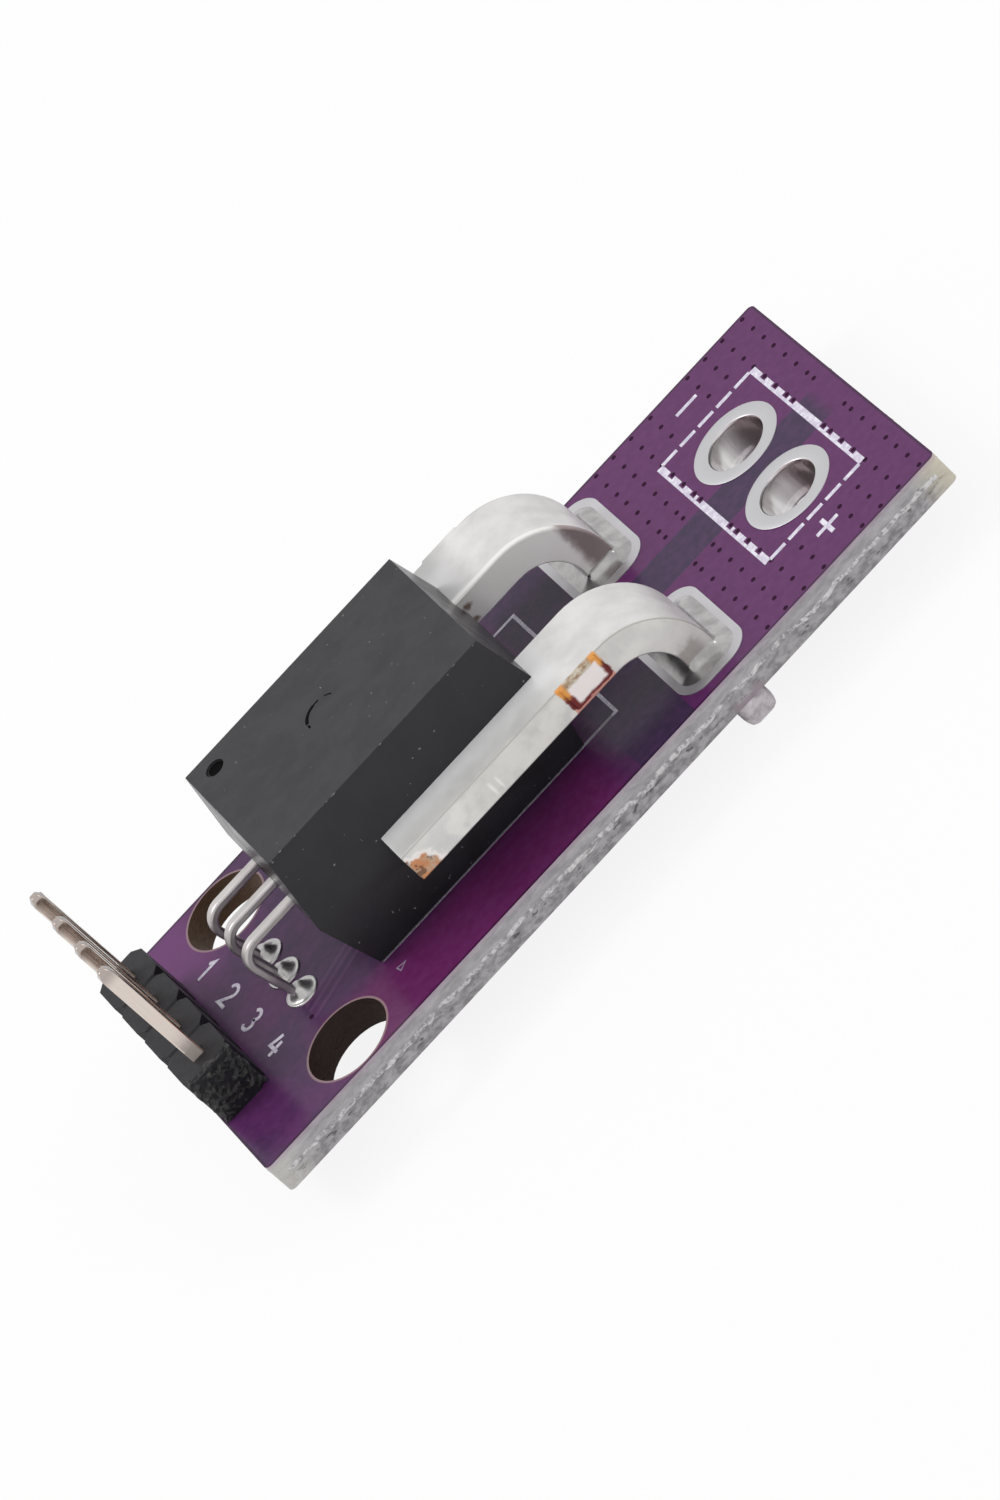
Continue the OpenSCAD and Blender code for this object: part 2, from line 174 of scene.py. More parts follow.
def floor_look():
    """Pale paper. Mirrored rays find it dark under the board, and pale beyond it."""
    material = bpy.data.materials.new("floor")
    material.use_nodes = True
    nodes, links = material.node_tree.nodes, material.node_tree.links
    nodes.clear()

    def combined(operation, a, b):
        node = nodes.new("ShaderNodeMath")
        node.operation = operation
        for socket, source in zip(node.inputs, (a, b)):
            if hasattr(source, "links"):
                links.new(source, socket)
            else:
                socket.default_value = source
        return node.outputs[0]

    spot = nodes.new("ShaderNodeTexCoord")
    split = nodes.new("ShaderNodeSeparateXYZ")
    links.new(spot.outputs["Object"], split.inputs[0])
    past_x = combined("SUBTRACT", combined("ABSOLUTE", split.outputs[0], 0), BOARD_HI[0])
    past_y = combined("SUBTRACT", combined("ABSOLUTE", split.outputs[1], 0), BOARD_HI[1])
    beyond = nodes.new("ShaderNodeMapRange")
    beyond.interpolation_type = "SMOOTHSTEP"
    beyond.inputs["From Min"].default_value = SHADE_FADE[0]
    beyond.inputs["From Max"].default_value = SHADE_FADE[1]
    beyond.inputs["To Min"].default_value = UNDER_BOARD
    links.new(combined("MAXIMUM", past_x, past_y), beyond.inputs["Value"])
    eye = nodes.new("ShaderNodeLightPath")
    open_floor = combined("MAXIMUM", beyond.outputs["Result"], eye.outputs["Is Camera Ray"])
    share = combined("MULTIPLY", seen_directly(nodes, links), open_floor)
    share = combined("MULTIPLY", share, FLOOR_GLOW)
    paper = nodes.new("ShaderNodeBsdfDiffuse")
    paper.inputs["Color"].default_value = (FLOOR_WHITE, FLOOR_WHITE, FLOOR_WHITE, 1)
    glow = nodes.new("ShaderNodeEmission")
    mixed = nodes.new("ShaderNodeMixShader")
    links.new(share, mixed.inputs[0])
    links.new(paper.outputs[0], mixed.inputs[1])
    links.new(glow.outputs[0], mixed.inputs[2])
    out = nodes.new("ShaderNodeOutputMaterial")
    links.new(mixed.outputs[0], out.inputs[0])
    return material


floor_mesh = bpy.data.meshes.new("floor")
floor_mesh.from_pydata(
    [(x * FLOOR_HALF, y * FLOOR_HALF, 0) for x, y in ((-1, -1), (1, -1), (1, 1), (-1, 1))],
    [],
    [(0, 1, 2, 3)],
)
floor_mesh.materials.append(floor_look())
floor = bpy.data.objects.new("floor", floor_mesh)
bpy.context.collection.objects.link(floor)

# Material helpers

MIX_A, MIX_B, MIX_RESULT = 6, 7, 2  # the colour sockets of a Mix node


def srgb(r, g, b):
    """A colour as it is read from a picture, 0 to 255, as linear light."""
    return tuple(
        (c / 255 / 12.92) if c <= 10 else ((c / 255 + 0.055) / 1.055) ** 2.4 for c in (r, g, b)
    ) + (1.0,)


class Look:
    """A material under construction.

    Textures are laid out in millimetres of the frame, and axes in places on the board.
    """

    def __init__(self, name, color, rough, metal=0.0, level=0.5):
        self.material = bpy.data.materials.new(name)
        self.material.use_nodes = True
        self.material.diffuse_color = color
        self.nodes = self.material.node_tree.nodes
        self.links = self.material.node_tree.links
        self.shader = self.nodes["Principled BSDF"]
        self.shader.inputs["Base Color"].default_value = color
        self.shader.inputs["Roughness"].default_value = rough
        self.shader.inputs["Metallic"].default_value = metal
        self.shader.inputs["Specular IOR Level"].default_value = level
        where = self.nodes.new("ShaderNodeTexCoord")
        scale = self.nodes.new("ShaderNodeVectorMath")
        scale.operation = "SCALE"
        scale.inputs["Scale"].default_value = 1 / MM
        self.links.new(where.outputs["Object"], scale.inputs[0])
        self.place = scale.outputs[0]
        self._xyz = None
        self._facing = None

    def feed(self, socket, source):
        if hasattr(source, "links"):
            self.links.new(source, socket)
        elif hasattr(socket.default_value, "__len__") and not hasattr(source, "__len__"):
            socket.default_value = (source,) * len(socket.default_value)
        else:
            socket.default_value = source

    def set(self, name, source):
        self.feed(self.shader.inputs[name], source)

    def split(self, vector):
        node = self.nodes.new("ShaderNodeSeparateXYZ")
        self.links.new(vector, node.inputs[0])
        return node.outputs

    def axis(self, i):
        """X, Y or Z of the place on the board."""
        if self._xyz is None:
            shift = self.nodes.new("ShaderNodeVectorMath")
            shift.operation = "SUBTRACT"
            shift.inputs[1].default_value = at(0, 0) / MM
            self.links.new(self.place, shift.inputs[0])
            self._xyz = self.split(shift.outputs[0])
        return self._xyz[i]

    def facing(self, i):
        """X, Y or Z of the surface's own direction."""
        if self._facing is None:
            geometry = self.nodes.new("ShaderNodeNewGeometry")
            self._facing = self.split(geometry.outputs["Normal"])
        return self._facing[i]

    def math(self, operation, a, b=0.0):
        node = self.nodes.new("ShaderNodeMath")
        node.operation = operation
        self.feed(node.inputs[0], a)
        self.feed(node.inputs[1], b)
        return node.outputs[0]

    def plus(self, a, b):
        return self.math("ADD", a, b)

    def minus(self, a, b):
        return self.math("SUBTRACT", a, b)

    def times(self, a, b):
        return self.math("MULTIPLY", a, b)

    def most(self, a, b):
        return self.math("MAXIMUM", a, b)

    def magnitude(self, a):
        return self.math("ABSOLUTE", a)

    def ramp(self, value, lo, hi, to_lo=0.0, to_hi=1.0):
        """Runs from to_lo to to_hi, smoothly, as value goes from lo to hi."""
        node = self.nodes.new("ShaderNodeMapRange")
        node.interpolation_type = "SMOOTHSTEP"
        self.feed(node.inputs["Value"], value)
        node.inputs["From Min"].default_value = lo
        node.inputs["From Max"].default_value = hi
        node.inputs["To Min"].default_value = to_lo
        node.inputs["To Max"].default_value = to_hi
        return node.outputs["Result"]

    def between(self, value, lo, hi, soft):
        """1 where value lies between lo and hi, with soft edges."""
        rise = self.ramp(value, lo - soft, lo + soft)
        fall = self.ramp(value, hi - soft, hi + soft, 1.0, 0.0)
        return self.times(rise, fall)

    def zone(self, x, y, soft=0.04):
        """1 over a rectangle of the board, given by its ends in X and in Y."""
        return self.times(self.between(self.axis(0), *x, soft), self.between(self.axis(1), *y, soft))

    def distance(self, a, b):
        """Length of the line whose two runs are a and b."""
        return self.math("SQRT", self.plus(self.times(a, a), self.times(b, b)))

    def stretched(self, x, y, z):
        node = self.nodes.new("ShaderNodeMapping")
        node.inputs["Scale"].default_value = (x, y, z)
        self.links.new(self.place, node.inputs["Vector"])
        return node.outputs[0]

    def noise(self, scale, detail=3.0, rough=0.55, vector=None):
        node = self.nodes.new("ShaderNodeTexNoise")
        self.links.new(vector or self.place, node.inputs["Vector"])
        node.inputs["Scale"].default_value = scale
        node.inputs["Detail"].default_value = detail
        node.inputs["Roughness"].default_value = rough
        return node.outputs["Fac"]

    def mix(self, factor, a, b):
        node = self.nodes.new("ShaderNodeMix")
        node.data_type = "RGBA"
        self.feed(node.inputs["Factor"], factor)
        self.feed(node.inputs[MIX_A], a)
        self.feed(node.inputs[MIX_B], b)
        return node.outputs[MIX_RESULT]

    def bump(self, height, depth, strength=1.0):
        node = self.nodes.new("ShaderNodeBump")
        node.inputs["Strength"].default_value = strength
        node.inputs["Distance"].default_value = depth * MM
        self.links.new(height, node.inputs["Height"])
        before = self.shader.inputs["Normal"]
        if before.links:
            self.links.new(before.links[0].from_socket, node.inputs["Normal"])
        self.links.new(node.outputs[0], before)


# Board materials

MASK_ON_COPPER = srgb(92, 39, 93)
MASK_ON_LAMINATE = srgb(58, 42, 72)
ALL_X, ALL_Y = (-10, 50), (-10, 30)  # past every edge of the board
WEAVE = 9.0  # radians of the glass cloth's weave for each millimetre


def mask_color(look):
    """Solder mask over the copper pours, tracks and bare laminate."""
    pour_left = look.zone((POUR_START, ALL_X[1]), (ISOLATION[1], ALL_Y[1]))
    pour_right = look.zone((POUR_START, ALL_X[1]), (ALL_Y[0], ISOLATION[0]))
    near = look.zone((ALL_X[0], 22.0), ALL_Y, soft=0.1)
    pour_end = look.zone((37.7, ALL_X[1]), ALL_Y, soft=0.4)
    pours = look.most(look.most(pour_left, pour_right), pour_end)
    cloud = look.noise(0.35, detail=2.0)
    near_share = look.times(near, look.ramp(cloud, 0.35, 0.65, 0.2, 0.7))
    color = look.mix(look.most(pours, near_share), MASK_ON_LAMINATE, MASK_ON_COPPER)
    # painted shade: the copper beside the sensor's right flank is redder and darker, where the
    # moulding shades it and is mirrored in it; painted sheen: the near left corner is paler
    painted_shade_band = look.zone((5.0, 21.0), (-2.0, 4.0), soft=1.0)
    color = look.mix(look.times(painted_shade_band, 0.6), color, srgb(106, 26, 86))
    painted_sheen_corner = look.zone((-2.0, 4.5), (12.5, 20.0), soft=1.0)
    color = look.mix(look.times(painted_sheen_corner, 0.4), color, srgb(134, 70, 136))
    # faint tracks from the signal joints to the right mounting hole
    slant = 0.35
    track = None
    for offset in (0.0, 0.55, 1.0):
        along = look.plus(look.axis(1), look.times(look.axis(0), -slant))
        start = 5.35 + offset - slant * 6.5
        line = look.between(along, start - 0.1, start + 0.1, 0.05)
        track = line if track is None else look.most(track, line)
    track = look.times(track, look.zone((5.6, 9.2), (3, 7.6)))
    color = look.mix(look.times(track, 0.35), color, srgb(120, 78, 124))
    mottle = look.noise(2.2, detail=4.0)
    return look.mix(look.ramp(mottle, 0.3, 0.75, 0.0, 0.16), color, srgb(128, 72, 130))


def mounting_holes(look):
    """Masks of the holes' bare rims and of their walls."""
    rim = wall = None
    for y in (HOLE_INSET, BOARD_W - HOLE_INSET):
        r = look.distance(look.minus(look.axis(0), HOLE_X), look.minus(look.axis(1), y))
        ring = look.between(r, HOLE_R - 0.1, HOLE_R + 0.1, 0.02)
        inner = look.ramp(r, HOLE_R + 0.06, HOLE_R + 0.1, 1.0, 0.0)
        rim = ring if rim is None else look.most(rim, ring)
        wall = inner if wall is None else look.most(wall, inner)
    return rim, wall


def edge_color(look, streak, lumps, pits):
    """Laminate along the board's sides: a scored upper half, and a torn lower half whose pits are
    painted darker as shade.
    """
    height = look.plus(look.axis(2), look.times(look.minus(lumps, 0.5), 0.8))
    upper = look.ramp(height, -0.95, -0.7)
    scored = look.mix(look.ramp(streak, 0.3, 0.7), srgb(150, 148, 151), srgb(184, 181, 184))
    torn = look.mix(look.ramp(lumps, 0.35, 0.65), srgb(134, 131, 134), srgb(176, 173, 176))
    # painted shade in the pits
    torn = look.mix(pits, torn, srgb(84, 80, 83))
    edge = look.mix(upper, torn, scored)
    # paler at both ends of the board
    far = look.ramp(look.axis(0), 37.2, 39.0)
    edge = look.mix(look.times(far, 0.7), edge, srgb(222, 214, 192))
    first = look.ramp(look.axis(0), 0.2, 2.4, 0.6, 0.0)
    edge = look.mix(first, edge, srgb(216, 213, 207))
    # flux that ran up the right long edge from the conductor's tail
    leg_zone = look.between(look.axis(0), 26.25, 27.75, 0.12)
    leg_zone = look.times(leg_zone, look.ramp(height, -1.35, -1.15, 0.75, 0.0))
    leg_zone = look.times(leg_zone, look.ramp(look.facing(1), -0.8, -0.5, 1.0, 0.0))
    edge = look.mix(leg_zone, edge, srgb(156, 140, 150))
    # a faint band of the mask's colour along the top
    band = look.ramp(look.axis(2), -0.3, -0.02)
    return look.mix(look.times(band, 0.45), edge, srgb(178, 150, 174))


def hole_wall_color(look):
    """The mounting holes' drilled walls, brown laminate with painted shade: nearly black in the right
    hole and brown in the left.
    """
    weft = look.noise(3.0, vector=look.stretched(1, 1, 3))
    right = look.mix(weft, srgb(26, 17, 16), srgb(62, 44, 38))
    left = look.mix(weft, srgb(74, 54, 40), srgb(122, 96, 72))
    return look.mix(look.ramp(look.axis(1), 8, 10), right, left)


def board_look():
    look = Look("solder_mask", MASK_ON_COPPER, 0.24, level=0.19)
    rim, wall = mounting_holes(look)
    color = look.mix(look.times(rim, 0.75), mask_color(look), srgb(158, 132, 132))
    inside = look.zone((0.12, BOARD_L - 0.12), (0.14, BOARD_W - 0.14))
    margin = look.times(look.minus(1.0, inside), 0.6)
    color = look.mix(margin, color, srgb(40, 20, 42))

    streak = look.noise(2.4, detail=6.0, rough=0.7, vector=look.stretched(0.5, 0.5, 1.6))
    lumps = look.noise(2.6, detail=4.0, rough=0.6, vector=look.stretched(0.7, 0.7, 1.2))
    pits = look.noise(2.9, detail=3.0, rough=0.6, vector=look.stretched(0.55, 0.55, 1.5))
    pit_zone = look.between(look.axis(2), -1.3, -0.85, 0.12)
    pits = look.times(look.ramp(pits, 0.6, 0.68, 0.0, 0.8), pit_zone)
    edge = look.mix(wall, edge_color(look, streak, lumps, pits), hole_wall_color(look))
    side = look.ramp(look.magnitude(look.facing(2)), 0.4, 0.6, 1.0, 0.0)
    look.set("Base Color", look.mix(side, color, edge))
    look.set("Roughness", look.ramp(side, 0.0, 1.0, 0.22, 0.5))

    relief = look.plus(look.times(streak, 0.4), look.times(lumps, 0.6))
    relief = look.minus(relief, look.times(pits, 0.5))
    look.bump(look.times(relief, side), 0.1)
    warp, weft = (look.math("SINE", look.times(axis, WEAVE)) for axis in look.split(look.place)[:2])
    look.bump(look.times(look.times(warp, weft), look.minus(1.0, side)), 0.0006)
    return look.material


def web_look():
    """Torn glass cloth and resin: pale, with bright fibre ends."""
    look = Look("torn_laminate", srgb(196, 194, 194), 0.5, level=0.5)
    tuft = look.noise(4.0, detail=4.0, rough=0.65)
    color = look.mix(look.ramp(tuft, 0.35, 0.65), srgb(146, 143, 146), srgb(224, 222, 222))
    look.set("Base Color", color)
    look.bump(tuft, 0.12)
    return look.material


def ink_look():
    look = Look("silkscreen_ink", srgb(228, 222, 236), 0.55, level=0.3)
    cloud = look.noise(4.0, detail=4.0)
    color = look.mix(look.ramp(cloud, 0.35, 0.7), srgb(206, 198, 218), srgb(240, 236, 246))
    # painted shade darkens the ink beside the sensor's right flank and in the small mark near its
    # corner
    flank_shade = look.zone((9.0, 22.7), (3.9, 4.5))
    mark_shade = look.zone((9.2, 10.0), (2.5, 3.3))
    color = look.mix(look.times(flank_shade, 0.6), color, srgb(108, 102, 110))
    color = look.mix(look.times(mark_shade, 0.8), color, srgb(112, 78, 114))
    look.set("Base Color", color)
    look.bump(look.noise(12.0, detail=2.0), 0.006, 0.6)
    return look.material


# Plastic materials


def moulding_look():
    look = Look("moulding", srgb(16, 16, 18), 0.5, level=0.5)
    grain = look.noise(16.0, detail=3.0, rough=0.7)
    cloud = look.noise(0.7, detail=3.0)
    dust = look.noise(5.5, detail=1.0)
    color = look.mix(cloud, srgb(12, 11, 16), srgb(21, 20, 29))
    color = look.mix(look.ramp(dust, 0.76, 0.79, 0.0, 0.6), color, srgb(150, 150, 152))
    # the rounded edges between crown, flanks and ends carry small pale chips
    rounded = look.between(look.magnitude(look.facing(2)), 0.3, 0.93, 0.06)
    chips = look.ramp(look.noise(5.0, detail=3.0, rough=0.7), 0.6, 0.66, 0.0, 0.75)
    color = look.mix(look.times(rounded, chips), color, srgb(168, 166, 160))
    look.set("Base Color", color)
    # the ends are smoother than the crown and the flanks
    end = look.ramp(look.magnitude(look.facing(0)), 0.8, 0.95)
    rough = look.ramp(cloud, 0.3, 0.7, 0.46, 0.58)
    look.set("Roughness", look.minus(rough, look.times(end, 0.2)))
    # painted shade: the lower half of each flank faces down and is made partly metallic, so its
    # dark colour dims the sheen and it is nearly black
    look.set("Metallic", look.ramp(look.facing(2), -0.12, -0.02, 0.45, 0.0))
    look.bump(look.times(grain, look.ramp(end, 0, 1, 1.0, 0.25)), 0.02, 0.8)
    return look.material


def header_look():
    look = Look("header_plastic", srgb(20, 20, 23), 0.5, level=0.36)
    cloud = look.noise(1.6, detail=4.0)
    look.set("Base Color", look.mix(cloud, srgb(11, 10, 14), srgb(26, 24, 32)))
    look.set("Roughness", look.ramp(cloud, 0.3, 0.7, 0.42, 0.56))
    look.bump(look.noise(14.0, detail=3.0), 0.015, 0.8)
    return look.material


def snapped_look():
    """Header plastic where the strip was broken off: dark, torn and specked."""
    look = Look("snapped_plastic", srgb(16, 16, 17), 0.55, level=0.36)
    speck = look.noise(4.5, detail=4.0, rough=0.7)
    color = look.mix(look.ramp(speck, 0.38, 0.58), srgb(12, 12, 13), srgb(52, 52, 53))
    look.set("Base Color", look.mix(look.ramp(speck, 0.62, 0.7), color, srgb(116, 114, 98)))
    look.bump(speck, 0.12, 1.0)
    return look.material


# Metal materials


def tin_look(name, color, rough, metal):
    """Matt tin plate with faint clouds and rub marks, and its colour for more work."""
    look = Look(name, color, rough, metal=metal)
    cloud = look.noise(0.7, detail=4.0)
    patch = look.noise(2.2, detail=4.0)
    darker = tuple(c * 0.9 for c in color[:3]) + (1.0,)
    lighter = tuple(min(1.0, c * 1.06) for c in color[:3]) + (1.0,)
    tone = look.mix(look.ramp(cloud, 0.3, 0.7), darker, lighter)
    look.set("Base Color", tone)
    look.set("Roughness", look.ramp(patch, 0.3, 0.7, rough - 0.05, rough + 0.07))
    look.bump(look.noise(9.0, detail=2.0), 0.004, 0.5)
    return look, tone


def torn_corner(look, tone, ragged):
    """Copper where the right end of the plate is torn at its lower corner."""
    copper = look.mix(look.ramp(look.noise(1.3), 0.42, 0.58), srgb(204, 142, 100), srgb(196, 172, 148))
    fleck = look.ramp(look.noise(3.2, detail=3.0), 0.52, 0.62, 0.0, 0.85)
    copper = look.mix(fleck, copper, srgb(112, 76, 56))
    along = look.minus(look.axis(0), PLATE_X)
    up = look.minus(look.axis(2), PLATE_LOW)
    far = look.plus(look.most(along, up), look.times(look.plus(along, up), 0.5))
    far = look.plus(far, look.times(ragged, 1.1))
    outside = look.ramp(look.axis(1), 2.3, 2.7, 1.0, 0.0)
    chip = look.times(look.ramp(far, 1.7, 1.95, 1.0, 0.0), outside)
    rim = look.times(look.between(far, 1.72, 2.05, 0.1), outside)
    tone = look.mix(chip, tone, copper)
    return look.mix(look.times(rim, 0.7), tone, srgb(250, 246, 242))


def cut_tie_bar(look, tone, ragged, outer):
    """A pale sheared face inside a copper edge."""
    x, z = look.axis(0), look.axis(2)
    start, end = TIE_BAR
    wobble = look.times(ragged, 0.28)
    rough_x = look.plus(x, wobble)
    bar = look.times(
        look.between(rough_x, start - 0.1, end + 0.1, 0.05),
        look.between(z, PLATE_LOW, PLATE_HIGH, 0.05),
    )
    face = look.times(
        look.between(rough_x, start + 0.3, end - 0.14, 0.07),
        look.between(look.plus(z, wobble), 3.1, 3.98, 0.07),
    )
    # dark red below, brown with pale tufts above, and orange with a painted highlight at the two upper
    # corners
    height = look.plus(z, look.times(ragged, 0.7))
    tuft = look.ramp(look.noise(2.6, detail=2.0), 0.35, 0.6)
    brown = look.mix(tuft, srgb(158, 130, 102), srgb(204, 194, 178))
    off_middle = look.magnitude(look.minus(x, (start + end) / 2))
    corner = look.ramp(look.plus(off_middle, wobble), 0.6, 0.85)
    brown = look.mix(corner, brown, srgb(224, 156, 78))
    red = look.mix(look.ramp(height, 3.5, 3.85), srgb(112, 42, 42), brown)
    red = look.mix(look.ramp(height, 2.86, 2.98, 0.8, 0.0), red, srgb(222, 164, 152))
    color = look.mix(face, red, srgb(236, 228, 226))
    return look.mix(look.times(bar, outer), tone, color)


def stains(look, ragged):
    """Mask of two small stains where the left lead leaves the moulding."""
    stain = None
    for x, z in ((21.95, 3.66), (21.8, 2.95)):
        r = look.distance(look.minus(look.axis(0), x), look.minus(look.axis(2), z))
        spot = look.ramp(look.plus(r, look.times(ragged, 0.6)), 0.06, 0.28, 1.0, 0.0)
        stain = spot if stain is None else look.most(stain, spot)
    return stain


def conductor_look():
    look, tone = tin_look("conductor_tin", srgb(220, 218, 217), 0.5, 0.6)
    x, y, z = look.axis(0), look.axis(1), look.axis(2)
    ragged = look.times(look.minus(look.noise(2.6, detail=4.0), 0.5), 0.9)
    outer_right = look.ramp(y, 1.98, 2.12, 1.0, 0.0)
    outer_left = look.times(look.ramp(y, 15.8, 15.92), look.ramp(look.facing(1), 0.8, 0.95))
    outer = look.most(outer_right, outer_left)

    # painted light brightens the strip beside the moulding, against the moulding's shade and dark
    # reflection on it; the strip is greyer towards its outer edge
    off_middle = look.magnitude(look.minus(y, SENSOR_Y))
    strip = look.ramp(x, 21.95, 22.95, 1.0, 0.0)
    strip = look.times(strip, look.ramp(look.facing(2), 0.3, 0.7))
    painted_light_strip = look.times(strip, look.ramp(off_middle, 5.05, 7.0, 0.8, 0.4))
    brim = look.times(strip, look.ramp(off_middle, 5.3, 6.6, 0.0, 0.7))
    tone = look.mix(painted_light_strip, tone, srgb(255, 254, 255))
    tone = look.mix(brim, tone, srgb(200, 200, 198))

    # painted reflection: pale patches on the right side, which grows greyer towards the arch
    patch = look.ramp(look.noise(0.9, detail=3.0), 0.42, 0.62, 0.1, 0.65)
    tone = look.mix(look.times(patch, outer_right), tone, srgb(244, 242, 236))
    greyer = look.ramp(x, 15.35, 17.35, 0.08, 0.3)
    tone = look.mix(look.times(greyer, outer_right), tone, srgb(176, 173, 168))

    # painted shade: the long edges are darker than the faces, which dims their highlight
    edge = look.between(look.magnitude(look.facing(1)), 0.25, 0.9, 0.1)
    left_side = look.ramp(y, 11, 11.5)
    painted_edge_shade = look.mix(left_side, srgb(176, 173, 168), srgb(132, 130, 130))
    tone = look.mix(edge, tone, painted_edge_shade)

    # painted reflection of the board darkens the legs above the joints; two rub marks on the right
    # side
    leg_zone = look.times(
        look.between(look.plus(z, ragged), 0.35, 1.25, 0.2), look.between(x, 26.1, 27.25, 0.25)
    )
    tone = look.mix(look.times(leg_zone, 0.5), tone, srgb(128, 112, 110))
    rub = look.most(look.between(x, 17.25, 17.37, 0.08), look.between(x, 17.65, 17.73, 0.07))
    rub = look.times(rub, look.times(look.between(z, 2.95, 3.6, 0.2), outer_right))
    tone = look.mix(look.times(rub, 0.7), tone, srgb(254, 254, 252))

    tone = torn_corner(look, tone, ragged)
    tone = cut_tie_bar(look, tone, ragged, outer)

    # painted light makes the inner side of the left lead pale; a painted reflection of the board
    # darkens it where it goes down to its joint, and painted shade darkens the top of that lead
    # where it leaves the moulding
    inner = look.between(y, 11.8, 12.3, 0.05)
    tone = look.mix(look.times(inner, 0.7), tone, srgb(255, 253, 250))
    painted_base_shade = look.times(look.ramp(x, 21.75, 23.65, 0.55, 0.0), look.ramp(y, 12.2, 12.5))
    tone = look.mix(painted_base_shade, tone, srgb(150, 149, 150))
    leg = look.times(look.ramp(look.plus(x, look.times(ragged, 0.5)), 26.45, 26.95), inner)
    tone = look.mix(look.times(leg, 0.8), tone, srgb(128, 106, 104))
    stain = look.times(stains(look, ragged), inner)
    tone = look.mix(look.times(stain, 0.85), tone, srgb(112, 76, 50))
    look.set("Base Color", tone)

    # the strip beside the moulding and the inner side of the left arch mirror less
    arch = look.times(inner, look.ramp(x, 21.75, 23.25, 0.0, 0.55))
    arch = look.times(arch, look.minus(1.0, leg))
    mirror = look.minus(0.6, arch)
    look.set("Metallic", look.minus(mirror, look.times(painted_light_strip, 0.55)))
    return look.material


def solder_look(
    name="solder", tone=206, rough=0.24, depth=0.006, metal=0.85, grain=1.6, spread=16, pink=0
):
    look = Look(name, srgb(tone, tone - 1 - pink, tone - 2), rough, metal=metal)
    cloud = look.noise(1.2, detail=3.0)
    darker = srgb(tone - spread, tone - spread - 2 - pink, tone - spread - 2)
    lighter = srgb(tone + spread - 2, tone + spread - 3 - pink, tone + spread - 4)
    look.set("Base Color", look.mix(look.ramp(cloud, 0.3, 0.7), darker, lighter))
    look.set("Roughness", look.ramp(cloud, 0.3, 0.7, rough - 0.05, rough + 0.08))
    look.bump(look.noise(grain, detail=2.0), depth, 0.7)
    return look.material


def pad_look():
    """Levelled tin on a copper pad: a soft shine with a slow swell."""
    look = Look("pad_tin", srgb(196, 194, 198), 0.42, metal=0.8)
    cloud = look.noise(0.8, detail=2.0)
    look.set("Base Color", look.mix(cloud, srgb(184, 182, 186), srgb(204, 203, 206)))
    look.set("Roughness", look.ramp(cloud, 0.3, 0.7, 0.38, 0.48))
    look.bump(look.noise(1.2, detail=1.0), 0.02, 0.5)
    return look.material


def bore_look():
    """Bright plating, with a pale painted reflection where the wall faces the far end of the board,
    a darker, browner one where it faces the near end, and a painted shadow under the lip.
    """
    look = Look("bore_tin", srgb(204, 203, 204), 0.16, metal=1.0)
    drip = look.noise(1.5, detail=2.0, vector=look.stretched(1.5, 1.5, 0.3))
    flat = look.ramp(look.magnitude(look.facing(2)), 0.75, 0.95)
    lit = look.ramp(look.facing(0), -0.1, 0.6)
    # painted reflection: darker and browner where the wall faces the near end, pale where it faces the
    # far end
    middle = look.ramp(look.facing(0), -0.6, 0.1)
    tone = look.mix(middle, srgb(168, 152, 154), srgb(216, 210, 213))
    tone = look.mix(lit, tone, srgb(252, 251, 250))
    tone = look.mix(look.ramp(drip, 0.3, 0.7, 0.0, 0.25), tone, srgb(130, 122, 122))
    # painted shadow under the lip
    lip_shadow = look.between(look.facing(2), 0.25, 0.8, 0.08)
    lip_shadow = look.times(lip_shadow, look.ramp(look.facing(0), 0.05, 0.4, 0.0, 0.85))
    tone = look.mix(lip_shadow, tone, srgb(70, 64, 68))
    look.set("Base Color", look.mix(flat, tone, srgb(193, 192, 195)))
    look.set("Roughness", look.ramp(flat, 0, 1, 0.2, 0.42))
    glint = look.ramp(look.facing(0), 0.86, 0.97)
    mirror = look.minus(1.0, look.times(middle, 0.22))
    mirror = look.minus(mirror, look.times(lit, 0.15))
    mirror = look.minus(mirror, look.times(glint, 0.6))
    look.set("Metallic", look.most(mirror, look.times(flat, 0.8)))
    look.bump(look.times(drip, look.minus(1.0, flat)), 0.03, 0.8)
    return look.material


def pin_look():
    look = Look("pin_tin", srgb(226, 210, 198), 0.24, metal=1.0)
    drawn = look.noise(3.0, detail=3.0, vector=look.stretched(6, 6, 0.25))
    tone = look.mix(drawn, srgb(204, 190, 180), srgb(230, 220, 213))
    # painted reflection of the dark moulding darkens the sides towards the sensor; copper runs
    # along their edges low on the pin
    side = look.ramp(look.facing(0), 0.75, 0.95)
    corner = look.between(look.facing(0), 0.3, 0.7, 0.1)
    upright = look.ramp(look.magnitude(look.facing(2)), 0.15, 0.3, 1.0, 0.0)
    low = look.ramp(look.axis(2), 4.0, 7.0, 0.85, 0.0)
    low = look.times(low, look.times(corner, upright))
    tone = look.mix(look.times(side, 0.8), tone, srgb(74, 62, 58))
    tone = look.mix(low, tone, srgb(150, 88, 56))
    tip = look.ramp(look.axis(2), PIN_TIP - 0.9, PIN_TIP - 0.2, 0.0, 0.6)
    look.set("Base Color", look.mix(tip, tone, srgb(140, 130, 126)))
    look.set("Roughness", look.ramp(drawn, 0.3, 0.7, 0.12, 0.22))
    # the foot of the pin stays bright beside the black plastic
    look.set("Metallic", look.ramp(look.axis(2), 2.7, 4.4, 0.4, 1.0))
    return look.material


